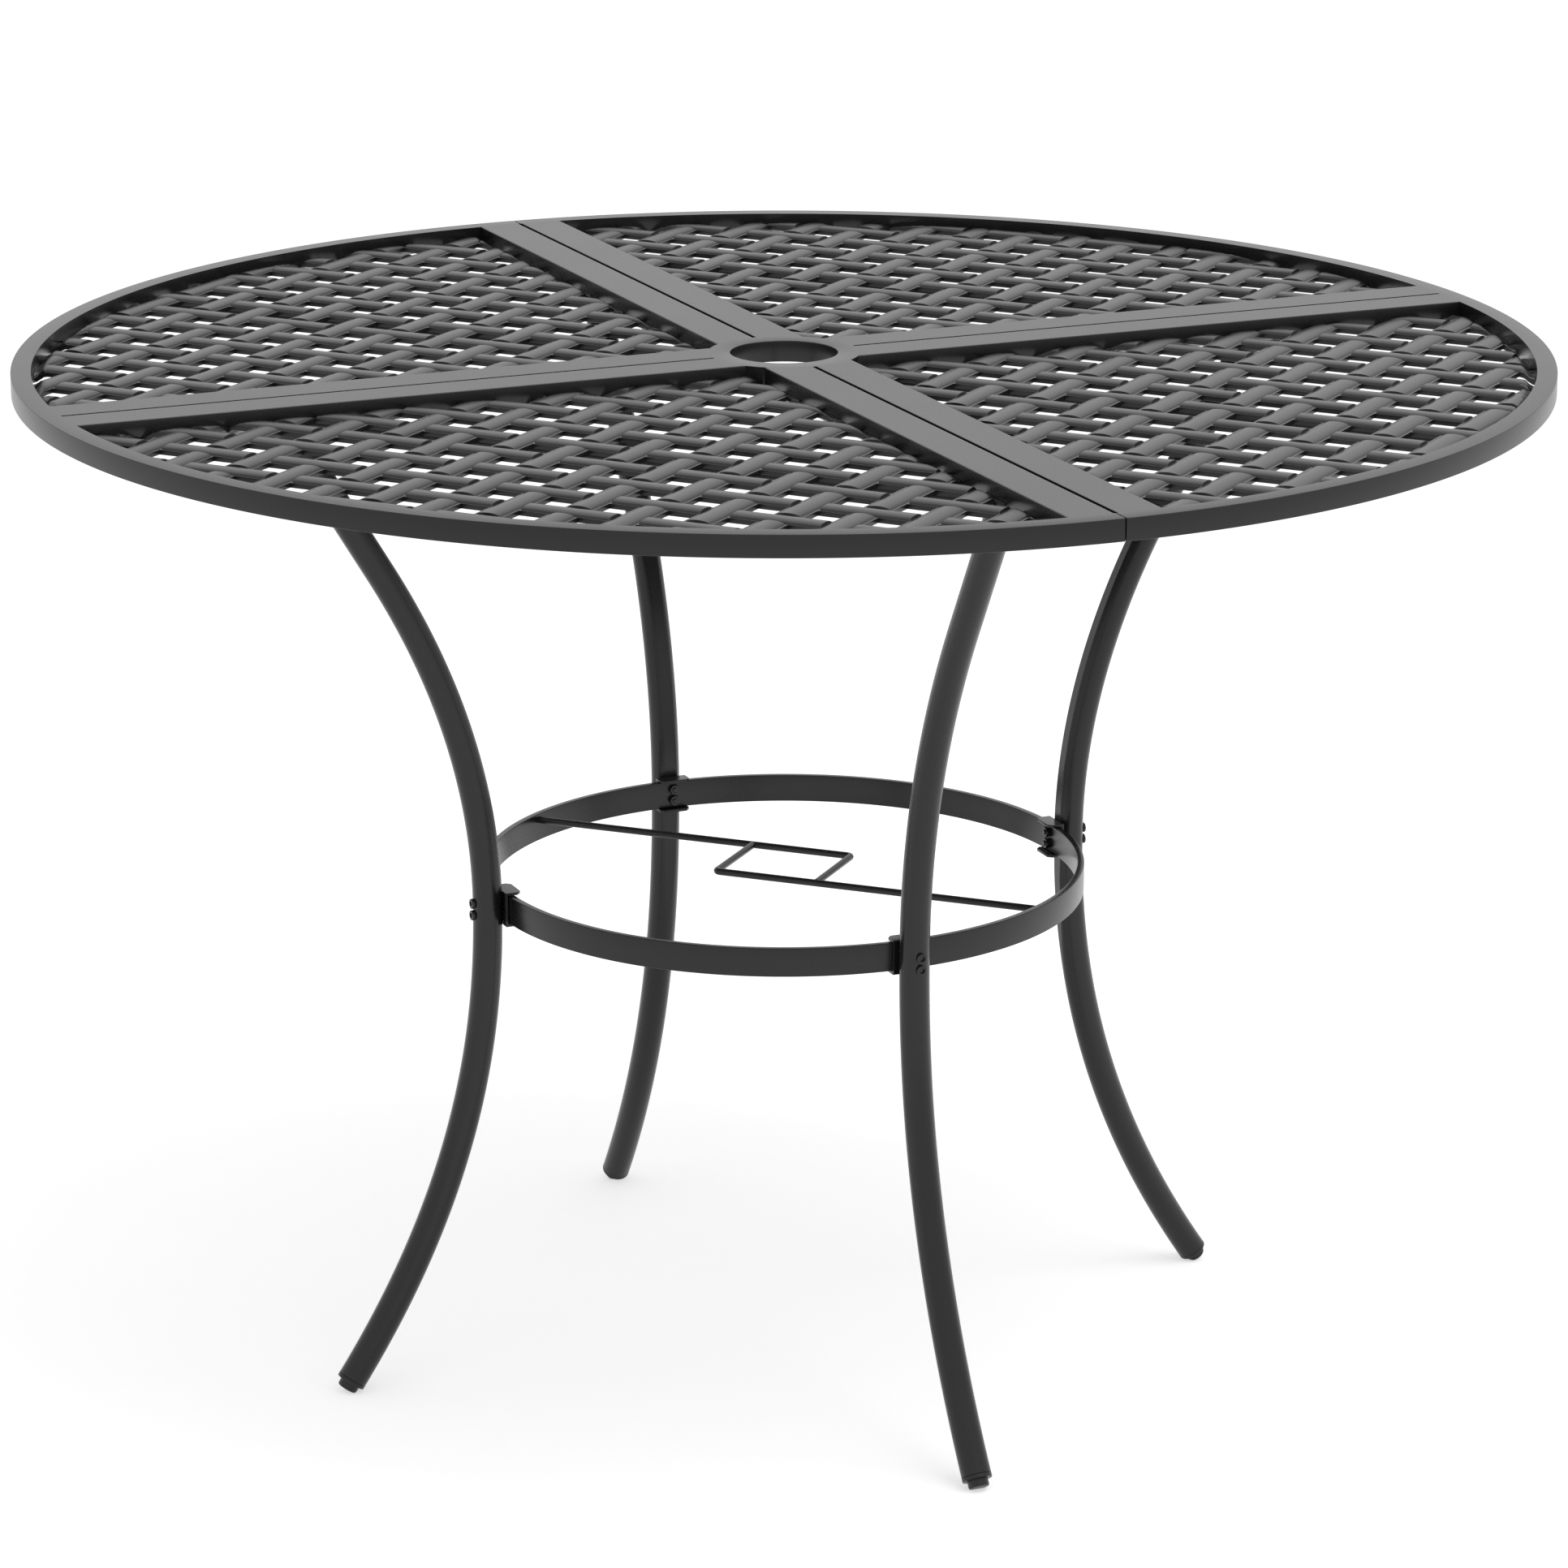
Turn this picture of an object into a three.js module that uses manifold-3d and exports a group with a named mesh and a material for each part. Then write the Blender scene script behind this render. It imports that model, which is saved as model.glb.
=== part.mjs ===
// A round patio table with a hole for an umbrella pole: two half tops that meet at a seam,
// each a tube frame round two woven steel panels, on four splayed legs tied by a flat ring.
// Millimetres, +Z up. The origin is on the floor under the centre of the table, the seam
// between the half tops runs along Y, and a leg stands under each end of X and of Y.
import * as THREE from 'three';
import { mergeVertices } from 'three/addons/utils/BufferGeometryUtils.js';
import Module from 'manifold-3d';

const wasm = await Module();
wasm.setup();

// Overall sizes
const tableDiameter = 1067;
const tableHeight = 722;
const seamGap = 2;

// Clearances
const fitGap = 0.3;
const holeClearance = 0.3;
const overrun = 5;
const weldTolerance = 1e-4;

// Rim: a square tube bent round, in two halves
const rimWidth = 14;
const rimHeight = 15;
const rimWall = 1.5;
const rimSegments = 4 * 13;

// Bars: flat rectangular tubes, two side by side in each band of the top
const barWidth = 31.5;
const barWall = 1.5;
const crossGroove = 0.8;

// Umbrella ring in the middle of the top
const umbrellaHoleDiameter = 75;
const umbrellaRingWidth = 15.5;
const umbrellaRingSegments = 4 * 8;

// Woven panels: strands over one and under one, turned from the bands
const weavePitch = 41.6;
const weaveAngle = THREE.MathUtils.degToRad(40);
const strandWidth = 20.6;
const crownDepth = 5.2;
const strandEdgeDepth = 7.2;
const panelDepth = 9.9;
const ridgeInset = 4;

// Legs: round tube bent to an hourglass, its inner side pressed against a vertical plane where
// the ring is clamped, with a shallow flat from there to the top
const legDiameter = 20.4;
const legWall = 1.5;
const legTopRadius = 382.5;
const legFootRadius = 332;
const upperBend = 2;
const lowerBend = 2.15;
const legSides = 10;
const boreSides = 6;
const waistFlatDepth = 3.2;
const upperFlatDepth = 1.5;
const waistHalfHeight = 20;
const waistBlend = 40;
const upperStations = 3;
const lowerStations = 3;

// Plate welded on top of each leg, and the screws that hold it to the bars
const topPlateLength = 56;
const topPlateWidth = 54;
const topPlateThickness = 3;
const topScrewDiameter = 5;
const topScrewLength = 9;
const topScrewHeadDiameter = 9.5;
const topScrewHeadHeight = 2.7;

// Flat ring that ties the legs at their waist
const ringDiameter = 431.2;
const ringThickness = 4.8;
const ringHeight = 20;
const ringMiddleHeight = 345;
const ringSegments = 8 * 5;

// Clamps between the ring and the legs
const clampWidth = 25;
const clampSheet = 2;
const clampFlange = 10;
const clampCornerCut = 3;
const clampBoltDiameter = 4;
const clampBoltSpacing = 8.4;
const clampBoltHeadDiameter = 7.2;
const clampBoltHeadHeight = 2.2;
const clampBoltTail = 1;
const clampNutWidth = 7;
const clampNutSides = 6;
const clampNutHeight = 3.2;

// Rods that make a square round the pole inside the ring
const rodDiameter = 5;
const rodSides = 8;
const poleSquareWidth = 70;
const poleSquareLength = 76;
const rodRise = 15;
const rodCornerRadius = 3;

// Plastic glides in the feet
const glideCollarLength = 3;
const glideNubDiameter = 14.5;
const glideNubLength = 5.5;
const glideNubRounding = 1.4;
const glideSpigotLength = 12;
const glideSides = 8;
const floorFlat = 1.2;
const footFitRounds = 8;

// Round fasteners
const fastenerSides = 6;
const headTopShare = 0.7;

// Sizes worked out from the ones above
const tableRadius = tableDiameter / 2;
const rimInnerRadius = tableRadius - rimWidth;
const topUnderside = tableHeight - rimHeight;
const umbrellaRingRadius = umbrellaHoleDiameter / 2 + umbrellaRingWidth;
const seamBandHalfWidth = seamGap / 2 + barWidth;
const crossBandHalfWidth = crossGroove / 2 + barWidth;
const legRadius = legDiameter / 2;
const boreRadius = legRadius - legWall;
const ringRadius = ringDiameter / 2;
const ringInnerRadius = ringRadius - ringThickness;
const clampOuterRadius = ringRadius + fitGap + clampSheet;
const legFlatRadius = clampOuterRadius + fitGap;
const legWaistRadius = legFlatRadius + legRadius - waistFlatDepth;
const topPlateTop = topUnderside - fitGap;
const topPlateUnderside = topPlateTop - topPlateThickness;
const glideLength = glideCollarLength + glideNubLength;
const boltHeights = [-1, 1].map((side) => ringMiddleHeight + side * clampBoltSpacing / 2);
const waistLow = ringMiddleHeight - waistHalfHeight;
const waistHigh = ringMiddleHeight + waistHalfHeight;

const powderCoat = new THREE.MeshStandardMaterial({ color: 0x4b4b4b, roughness: 0.55, metalness: 0.35 });
const wovenSteel = new THREE.MeshStandardMaterial({ color: 0x525252, roughness: 0.6, metalness: 0.3 });
const fastenerSteel = new THREE.MeshStandardMaterial({ color: 0x3a3a3a, roughness: 0.4, metalness: 0.7 });
const blackPlastic = new THREE.MeshStandardMaterial({ color: 0x232323, roughness: 0.7, metalness: 0 });

// A closed solid from a geometry, with its faces pointing out
function solid(geometry) {
  let bare = geometry.clone();
  bare.deleteAttribute('normal');
  bare.deleteAttribute('uv');
  bare = mergeVertices(bare, weldTolerance);
  const position = bare.attributes.position;
  const corners = Array.from(bare.index.array);
  const triangles = [];
  let volume = 0;
  const [a, b, c] = [new THREE.Vector3(), new THREE.Vector3(), new THREE.Vector3()];
  for (let k = 0; k < corners.length; k += 3) {
    const [i, j, l] = corners.slice(k, k + 3);
    if (i === j || j === l || l === i) continue;
    a.fromBufferAttribute(position, i);
    b.fromBufferAttribute(position, j);
    c.fromBufferAttribute(position, l);
    volume += a.dot(b.cross(c));
    triangles.push(i, j, l);
  }
  if (volume < 0) triangles.reverse();
  return new wasm.Manifold(new wasm.Mesh({
    numProp: 3,
    vertProperties: new Float32Array(position.array),
    triVerts: new Uint32Array(triangles),
  }));
}

function geometryOf(places, triangles) {
  const geometry = new THREE.BufferGeometry();
  geometry.setAttribute('position', new THREE.BufferAttribute(new Float32Array(places), 3));
  geometry.setIndex(Array.from(triangles));
  geometry.computeVertexNormals();
  return geometry;
}

function shapeOf(body) {
  const mesh = body.getMesh();
  return geometryOf(mesh.vertProperties, mesh.triVerts);
}

// The largest connected part of a solid, without the offcuts that a cut leaves
function largestPart(body) {
  const mesh = body.getMesh();
  const triangles = Array.from(mesh.triVerts);
  const parent = Array.from({ length: mesh.vertProperties.length / 3 }, (_, k) => k);
  const rootOf = (k) => {
    let root = k;
    while (parent[root] !== root) root = parent[root];
    parent[k] = root;
    return root;
  };
  for (let k = 0; k < triangles.length; k += 3) {
    parent[rootOf(triangles[k + 1])] = rootOf(triangles[k]);
    parent[rootOf(triangles[k + 2])] = rootOf(triangles[k]);
  }
  const counts = new Map();
  for (const k of triangles) counts.set(rootOf(k), (counts.get(rootOf(k)) ?? 0) + 1);
  const largest = [...counts.keys()].reduce((best, root) => (counts.get(root) > counts.get(best) ? root : best));
  return geometryOf(mesh.vertProperties, triangles.filter((k) => rootOf(k) === largest));
}

// A box between two corners
function box(low, high) {
  const geometry = new THREE.BoxGeometry(...high.map((value, axis) => value - low[axis]));
  geometry.translate(...high.map((value, axis) => (value + low[axis]) / 2));
  return solid(geometry);
}

// A profile of radius and height points turned about Z; it ends on the axis or closes on itself
function turned(points, segments) {
  const geometry = new THREE.LatheGeometry(points.map(([r, z]) => new THREE.Vector2(r, z)), segments);
  return geometry.rotateX(Math.PI / 2);
}

function band(innerRadius, outerRadius, low, high, segments) {
  return solid(turned([[innerRadius, low], [outerRadius, low], [outerRadius, high], [innerRadius, high],
    [innerRadius, low]], segments));
}

function disc(radius, low, high, segments) {
  return solid(turned([[0, low], [radius, low], [radius, high], [0, high]], segments));
}

// A round cut with its axis along Z, and one with its axis along X, or turned from it, at a height
function verticalCut(radius, x, y, low, high) {
  return solid(turned([[0, low], [radius, low], [radius, high], [0, high]], fastenerSides).translate(x, y, 0));
}

function radialCut(radius, from, to, height, turn = 0) {
  const geometry = turned([[0, from], [radius, from], [radius, to], [0, to]], fastenerSides);
  return solid(geometry.rotateY(Math.PI / 2).translate(0, 0, height).rotateZ(turn));
}

// A round solid whose flats stand back from a round piece of as many segments by a gap
function insideOf(radius, gap, low, high, segments) {
  return disc(radius - gap / Math.cos(Math.PI / segments), low, high, segments);
}

const insideRim = insideOf(rimInnerRadius, fitGap, topUnderside - overrun, tableHeight + overrun, rimSegments);
const umbrellaRingSpace = insideOf(
  umbrellaRingRadius, -fitGap, topUnderside - overrun, tableHeight + overrun, umbrellaRingSegments,
);

// The half of the rim on the side of +X
function rimHalf() {
  const tube = band(rimInnerRadius, tableRadius, topUnderside, tableHeight, rimSegments);
  const bore = band(
    rimInnerRadius + rimWall, tableRadius - rimWall, topUnderside + rimWall, tableHeight - rimWall, rimSegments,
  );
  const otherHalf = box(
    [-tableRadius - overrun, -tableRadius - overrun, topUnderside - overrun],
    [seamGap / 2, tableRadius + overrun, tableHeight + overrun],
  );
  return shapeOf(tube.subtract(bore).subtract(otherHalf));
}

// A bar of the top along +X, on one side of its band's middle, with its ends shaped to the
// rim and the umbrella ring and a hole in its lower wall for the leg's screw
function bar(nearSide, side) {
  const [low, high] = [nearSide * side, (nearSide + barWidth) * side].sort((p, q) => p - q);
  const outside = box([0, low, topUnderside], [tableRadius, high, tableHeight]);
  const inside = box(
    [-overrun, low + barWall, topUnderside + barWall],
    [tableRadius + overrun, high - barWall, tableHeight - barWall],
  );
  const screwHole = verticalCut(
    topScrewDiameter / 2 + holeClearance, legTopRadius, (low + high) / 2, topUnderside - overrun,
    topUnderside + barWall + holeClearance,
  );
  return shapeOf(outside.subtract(inside).intersect(insideRim).subtract(umbrellaRingSpace).subtract(screwHole));
}

// The woven sheet over a quarter of the top, before it is cut to its outline. Each crossing
// has a float: the strand that passes over there, from the edge of the crossing before to
// the edge of the crossing after. A ridge runs along its middle, and its edges and ends lie
// lower. The floats run along the weave's first direction at every other crossing and across
// it at those between, and the other way round in the next quarter, since the four panels are
// alike and each is turned by a quarter from the next.
function weave(quarter) {
  const half = strandWidth / 2;
  const levels = {
    crown: tableHeight - crownDepth, edge: tableHeight - strandEdgeDepth, under: tableHeight - panelDepth,
  };
  const places = [];
  const numberOf = new Map();
  const vertex = (s, t, level) => {
    const key = [s.toFixed(3), t.toFixed(3), level].join();
    if (!numberOf.has(key)) {
      numberOf.set(key, places.length / 3);
      places.push(
        s * Math.cos(weaveAngle) - t * Math.sin(weaveAngle), s * Math.sin(weaveAngle) + t * Math.cos(weaveAngle),
        levels[level],
      );
    }
    return numberOf.get(key);
  };

  const reach = Math.ceil(tableRadius / weavePitch) + 1;
  const margin = weavePitch * Math.SQRT2;
  const crossings = new Set();
  for (let i = -reach; i <= reach; i += 1) {
    for (let j = -reach; j <= reach; j += 1) {
      const x = weavePitch * (i * Math.cos(weaveAngle) - j * Math.sin(weaveAngle));
      const y = weavePitch * (i * Math.sin(weaveAngle) + j * Math.cos(weaveAngle));
      const inQuarter = x * quarter.x > -margin && y * quarter.y > -margin;
      if (inQuarter && Math.hypot(x, y) < tableRadius + margin) crossings.add([i, j].join());
    }
  }

  const faces = [];
  const addFace = (corners) => {
    for (let k = 1; k < corners.length - 1; k += 1) faces.push(corners[0], corners[k], corners[k + 1]);
  };
  for (const name of crossings) {
    const [i, j] = name.split(',').map(Number);
    const alongFirst = ((i + j) % 2 === 0) === (quarter.x * quarter.y > 0);
    // u runs along the float and v across it
    const at = (u, v, level) => (alongFirst
      ? vertex(i * weavePitch + u, j * weavePitch + v, level)
      : vertex(i * weavePitch - v, j * weavePitch + u, level));
    const hasNeighbour = (u, v) => crossings.has((alongFirst ? [i + u, j + v] : [i - v, j + u]).join());
    const wall = (start, end) => addFace([at(...start, 'edge'), at(...start, 'under'), at(...end, 'under'),
      at(...end, 'edge')]);
    const floor = (corners) => addFace(corners.map((corner) => at(...corner, 'under')));

    const [back, ahead] = [-1, 1].map((side) => (hasNeighbour(side, 0) ? weavePitch - half : half));
    const ridgeStart = at(ridgeInset - back, 0, 'crown');
    const ridgeEnd = at(ahead - ridgeInset, 0, 'crown');
    const outline = [[-back, -half], [-half, -half], [half, -half], [ahead, -half], [ahead, half], [half, half],
      [-half, half], [-back, half]].filter(([u, v], k, all) => {
      const [nextU, nextV] = all[(k + 1) % all.length];
      return u !== nextU || v !== nextV;
    });
    outline.forEach(([u, v], k) => {
      const [nextU, nextV] = outline[(k + 1) % outline.length];
      const [near, far] = u + nextU < 0 || (u + nextU === 0 && v > 0) ? [ridgeStart, ridgeEnd] : [ridgeEnd, ridgeStart];
      faces.push(at(u, v, 'edge'), at(nextU, nextV, 'edge'), near);
      if (u + nextU === 0) faces.push(at(u, v, 'edge'), near, far);
    });

    floor([[-half, -half], [-half, half], [half, half], [half, -half]]);
    if (back > half) {
      floor([[-back, -half], [-back, half], [-half, half], [-half, -half]]);
      wall([-back, -half], [-half, -half]);
      wall([-half, half], [-back, half]);
    } else wall([-half, half], [-half, -half]);
    if (ahead > half) {
      floor([[half, -half], [half, half], [ahead, half], [ahead, -half]]);
      wall([half, -half], [ahead, -half]);
      wall([ahead, half], [half, half]);
    } else wall([half, -half], [half, half]);
    if (!hasNeighbour(0, -1)) wall([-half, -half], [half, -half]);
    if (!hasNeighbour(0, 1)) wall([half, half], [-half, half]);
  }
  return solid(geometryOf(places, faces));
}

// A woven panel fills the quarter of the space inside the rim that its bars leave
function wovenPanel(quarter) {
  const low = tableHeight - panelDepth - overrun;
  const high = tableHeight + overrun;
  const [xSpan, ySpan] = [[seamBandHalfWidth, quarter.x], [crossBandHalfWidth, quarter.y]].map(
    ([halfWidth, sign]) => [halfWidth + fitGap, tableRadius].map((value) => value * sign).sort((p, q) => p - q),
  );
  const corner = box([xSpan[0], ySpan[0], low], [xSpan[1], ySpan[1], high]);
  return largestPart(weave(quarter).intersect(corner).intersect(insideRim).subtract(umbrellaRingSpace));
}

// The height of a leg's end above the floor and its tilt there: the glide's nub, which tilts
// with the leg, would reach below the floor by the depth of the flat that it stands on
function footTilt(endHeight) {
  return Math.atan(lowerBend * (legFootRadius - legWaistRadius) / (ringMiddleHeight - endHeight));
}

const legEndHeight = Array.from({ length: footFitRounds }).reduce((height) => {
  const tilt = footTilt(height);
  const endRadius = glideNubDiameter / 2 - glideNubRounding;
  return glideLength * Math.cos(tilt) + endRadius * Math.sin(tilt) - floorFlat;
}, glideLength);

// A leg's centre line at a height: its distance from the table's axis, and how much longer
// than across the tube a level cut through it is there
function legLine(height) {
  const [end, endHeight, bend] = height > ringMiddleHeight
    ? [legTopRadius, topUnderside, upperBend]
    : [legFootRadius, legEndHeight, lowerBend];
  const rise = (height - ringMiddleHeight) / (endHeight - ringMiddleHeight);
  const spread = end - legWaistRadius;
  const slope = bend * spread * rise ** (bend - 1) / (endHeight - ringMiddleHeight);
  return { distance: legWaistRadius + spread * rise ** bend, lean: Math.hypot(1, slope) };
}

// A curve sampled at chosen places, with the point at each place given by a function
class StationCurve extends THREE.Curve {
  constructor(stations, pointAt) {
    super();
    this.stations = stations;
    this.pointAt = pointAt;
  }

  getPoint(t, target = new THREE.Vector3()) {
    const place = t * (this.stations.length - 1);
    const k = Math.min(Math.max(Math.floor(place), 0), this.stations.length - 2);
    const [from, to] = this.stations.slice(k, k + 2);
    return target.copy(this.pointAt(from + (to - from) * (place - k)));
  }

  getUtoTmapping(u) {
    return u;
  }
}

function alongStations(section, stations, pointAt) {
  return new THREE.ExtrudeGeometry(section, {
    steps: stations.length - 1, bevelEnabled: false, extrudePath: new StationCurve(stations, pointAt),
  });
}

function polygon(radius, sides, Kind) {
  return new Kind(Array.from({ length: sides }, (_, k) => {
    const angle = 2 * Math.PI * k / sides;
    return new THREE.Vector2(-radius * Math.sin(angle), radius * Math.cos(angle));
  }));
}

function between(from, to, count) {
  return Array.from({ length: count }, (_, k) => from + (to - from) * (k + 1) / (count + 1));
}

// A leg along +X: its tube with the inner side pressed flat, the plate welded on its top with
// a hole under the middle of each bar, and the holes for the clamp's bolts
function leg(nearSide) {
  const tubeTop = topPlateTop + legRadius;
  const heights = [legEndHeight, ...between(legEndHeight, waistLow - waistBlend, lowerStations),
    waistLow - waistBlend, waistLow, waistHigh, waistHigh + waistBlend,
    ...between(waistHigh + waistBlend, tubeTop, upperStations), tubeTop];
  const section = polygon(legRadius, legSides, THREE.Shape);
  section.holes.push(polygon(boreRadius, boreSides, THREE.Path));
  const tube = alongStations(section, heights, (height) => new THREE.Vector3(legLine(height).distance, 0, height));
  const position = tube.attributes.position;
  for (let k = 0; k < position.count; k += 1) {
    const height = position.getZ(k);
    const { distance, lean } = legLine(height);
    const inward = distance - position.getX(k);
    const onBore = Math.hypot(inward / lean, position.getY(k)) < legRadius - legWall / 2;
    const flat = legRadius - (height > ringMiddleHeight ? upperFlatDepth : 0);
    const limit = Math.min(flat * lean, distance - legFlatRadius) - (onBore ? legWall * lean : 0);
    if (inward > limit) position.setX(k, distance - limit);
  }
  const aboveTube = box(
    [0, -legDiameter, topPlateTop - topPlateThickness / 2], [tableRadius, legDiameter, tableHeight + overrun],
  );
  const plate = box(
    [legTopRadius - topPlateLength / 2, -topPlateWidth / 2, topPlateUnderside],
    [legTopRadius + topPlateLength / 2, topPlateWidth / 2, topPlateTop],
  );
  let body = solid(tube).subtract(aboveTube).add(plate);
  for (const side of [-1, 1]) {
    body = body.subtract(verticalCut(
      topScrewDiameter / 2 + holeClearance, legTopRadius, side * (nearSide + barWidth / 2),
      topPlateUnderside - overrun, topPlateTop + overrun,
    ));
  }
  for (const height of boltHeights) {
    body = body.subtract(radialCut(
      clampBoltDiameter / 2 + holeClearance, legWaistRadius - legDiameter, legWaistRadius + legDiameter, height,
    ));
  }
  return shapeOf(body);
}

// A glide in a foot: spigot in the tube, collar and nub, cut flat where it stands
function glide() {
  const spigotRadius = boreRadius * Math.cos(Math.PI / boreSides) - fitGap;
  const nubRadius = glideNubDiameter / 2;
  const geometry = turned([[0, -glideLength], [nubRadius - glideNubRounding, -glideLength],
    [nubRadius, glideNubRounding - glideLength], [nubRadius, -glideCollarLength],
    [legRadius, -glideCollarLength], [legRadius, -fitGap], [spigotRadius, -fitGap],
    [spigotRadius, glideSpigotLength], [0, glideSpigotLength]], glideSides);
  geometry.rotateY(-footTilt(legEndHeight)).translate(legFootRadius, 0, legEndHeight);
  const floor = box([0, -legDiameter, -glideLength - overrun], [tableRadius, legDiameter, 0]);
  return shapeOf(solid(geometry).subtract(floor));
}

// The flat ring, with the holes for the clamps' bolts
function stretcherRing() {
  let body = band(
    ringInnerRadius, ringRadius, ringMiddleHeight - ringHeight / 2, ringMiddleHeight + ringHeight / 2, ringSegments,
  );
  for (const height of boltHeights) {
    for (const turn of [0, Math.PI / 2]) {
      body = body.subtract(radialCut(
        clampBoltDiameter / 2 + holeClearance, -tableRadius, tableRadius, height, turn,
      ));
    }
  }
  return shapeOf(body);
}

// A clamp: a sheet channel between the ring and a leg, with flanges over and under the ring
// whose inner corners are cut off
function clamp() {
  const low = ringMiddleHeight - ringHeight / 2 - fitGap;
  const high = ringMiddleHeight + ringHeight / 2 + fitGap;
  const inner = clampOuterRadius - clampSheet - clampFlange;
  const half = clampWidth / 2;
  const plan = new THREE.Shape([
    [clampOuterRadius, -half], [clampOuterRadius, half], [inner + clampCornerCut, half],
    [inner, half - clampCornerCut], [inner, clampCornerCut - half], [inner + clampCornerCut, -half],
  ].map(([x, y]) => new THREE.Vector2(x, y)));
  const block = new THREE.ExtrudeGeometry(plan, { depth: high - low + 2 * clampSheet, bevelEnabled: false });
  let body = solid(block.translate(0, 0, low - clampSheet));
  body = body.subtract(box(
    [inner - overrun, -half - overrun, low], [clampOuterRadius - clampSheet, half + overrun, high],
  ));
  for (const height of boltHeights) {
    body = body.subtract(radialCut(clampBoltDiameter / 2 + holeClearance, inner, tableRadius, height));
  }
  return shapeOf(body);
}

// A screw or bolt with a low round head on +Z and its shank along -Z
function bolt(diameter, length, headDiameter, headHeight) {
  return turned([[0, -length], [diameter / 2, -length], [diameter / 2, 0], [headDiameter / 2, 0],
    [headTopShare * headDiameter / 2, headHeight], [0, headHeight]], fastenerSides);
}

function clampBolt(height) {
  const headSeat = legLine(waistHigh).distance + legRadius + fitGap;
  const tip = ringInnerRadius - fitGap - clampNutHeight - clampBoltTail;
  const geometry = bolt(clampBoltDiameter, headSeat - tip, clampBoltHeadDiameter, clampBoltHeadHeight);
  return shapeOf(solid(geometry.rotateY(Math.PI / 2).translate(headSeat, 0, height)));
}

function clampNut(height) {
  const cornerRadius = clampNutWidth / 2 / Math.cos(Math.PI / clampNutSides);
  const face = ringInnerRadius - fitGap;
  const geometry = turned([[0, face - clampNutHeight], [cornerRadius, face - clampNutHeight], [cornerRadius, face],
    [0, face]], clampNutSides);
  const body = solid(geometry.rotateY(Math.PI / 2).translate(0, 0, height));
  return shapeOf(body.subtract(radialCut(clampBoltDiameter / 2 + holeClearance, 0, tableRadius, height)));
}

function topScrew(y) {
  const geometry = bolt(topScrewDiameter, topScrewLength, topScrewHeadDiameter, topScrewHeadHeight);
  return shapeOf(solid(geometry.rotateX(Math.PI).translate(legTopRadius, y, topPlateUnderside - fitGap)));
}

// A rod bent to an L: its long arm runs from the ring along +X past the pole, and its short
// arm closes the square and ends against the other rod
function poleRod() {
  const radius = rodDiameter / 2;
  const height = ringMiddleHeight - ringHeight / 2 + rodRise;
  const [a, b] = [poleSquareLength / 2, poleSquareWidth / 2];
  const at = (x, y) => new THREE.Vector3(x, y, height);
  const path = new THREE.CurvePath();
  path.add(new THREE.LineCurve3(at(-ringRadius, b), at(a - rodCornerRadius, b)));
  path.add(new THREE.QuadraticBezierCurve3(at(a - rodCornerRadius, b), at(a, b), at(a, b - rodCornerRadius)));
  path.add(new THREE.LineCurve3(at(a, b - rodCornerRadius), at(a, radius + fitGap - b)));
  const [longArm, bend, whole] = path.getCurveLengths();
  const rod = alongStations(
    polygon(radius, rodSides, THREE.Shape), [0, longArm, (longArm + bend) / 2, bend, whole],
    (length) => path.getPoint(Math.min(length / whole, 1)),
  );
  return shapeOf(solid(rod).intersect(insideOf(ringInnerRadius, fitGap, 0, tableHeight, ringSegments)));
}

const table = new THREE.Group();

function place(parent, name, geometry, material, turn = 0) {
  const mesh = new THREE.Mesh(geometry, material);
  mesh.name = name;
  mesh.rotation.z = turn;
  parent.add(mesh);
}

place(table, 'rim_half_1', rimHalf(), powderCoat);
place(table, 'rim_half_2', rimHalf(), powderCoat, Math.PI);
place(table, 'umbrella_ring', shapeOf(band(
  umbrellaHoleDiameter / 2, umbrellaRingRadius, topUnderside, tableHeight, umbrellaRingSegments,
)), powderCoat);
[new THREE.Vector2(1, 1), new THREE.Vector2(-1, 1)].forEach((quarter, k) => {
  const panel = wovenPanel(quarter);
  place(table, `woven_panel_${k + 1}`, panel, wovenSteel);
  place(table, `woven_panel_${k + 3}`, panel, wovenSteel, Math.PI);
});
place(table, 'stretcher_ring', stretcherRing(), powderCoat);
place(table, 'pole_rod_1', poleRod(), powderCoat, -Math.PI / 4);
place(table, 'pole_rod_2', poleRod(), powderCoat, 3 * Math.PI / 4);

for (let k = 0; k < 4; k += 1) {
  const arm = new THREE.Group();
  arm.rotation.z = k * Math.PI / 2;
  table.add(arm);
  const onSeam = k % 2 === 1;
  const nearSide = (onSeam ? seamGap : crossGroove) / 2;
  place(arm, `leg_${k + 1}`, leg(nearSide), powderCoat);
  place(arm, `glide_${k + 1}`, glide(), blackPlastic);
  place(arm, `clamp_${k + 1}`, clamp(), powderCoat);
  for (const [side, word] of [[-1, 'right'], [1, 'left']]) {
    place(arm, `${onSeam ? 'seam' : 'spoke'}_bar_${k + 1}_${word}`, bar(nearSide, side), powderCoat);
    place(arm, `top_screw_${k + 1}_${word}`, topScrew(side * (nearSide + barWidth / 2)), fastenerSteel);
  }
  boltHeights.forEach((height, n) => {
    const word = ['lower', 'upper'][n];
    place(arm, `clamp_bolt_${k + 1}_${word}`, clampBolt(height), fastenerSteel);
    place(arm, `clamp_nut_${k + 1}_${word}`, clampNut(height), fastenerSteel);
  });
}

export default table;
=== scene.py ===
"""Round patio table with an umbrella hole: powder coated steel, woven steel panels in the top,
four splayed legs tied by a flat ring, and a square of rods that guides the umbrella pole."""

import math

import bmesh
import bpy
from mathutils import Matrix, Vector


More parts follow.
